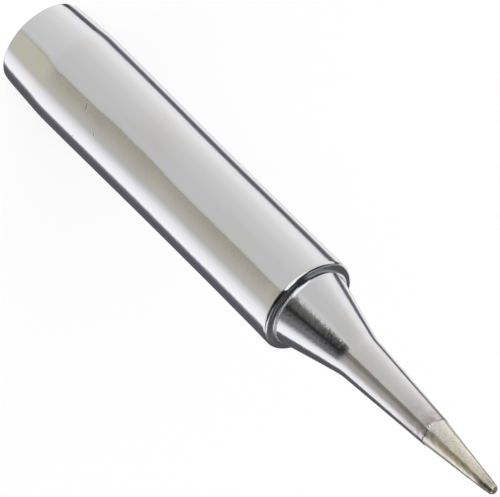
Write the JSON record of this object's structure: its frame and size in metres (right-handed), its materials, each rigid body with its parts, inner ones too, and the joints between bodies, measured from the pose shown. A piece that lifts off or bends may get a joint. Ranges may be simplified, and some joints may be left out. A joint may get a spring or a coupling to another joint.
{
  "type": "soldering iron tip",
  "caption": "Conical soldering iron tip: a chrome-plated copper barrel with a blind heater bore, a shoulder, and a tapered nose with a tinned rounded point.",
  "frame": {"origin": "centre of the barrel's rear rim, which the tip stands on", "axes": "+Z along the axis, from the rear rim to the point; X and Y are any two directions across it"},
  "size_m": [0.0065, 0.0064, 0.0441],
  "materials": {
    "plated_copper": "polished chrome plating, with a tinned working end"
  },
  "bodies": {
    "root": {"soldering_tip": "plated_copper"}
  },
  "joints": []
}
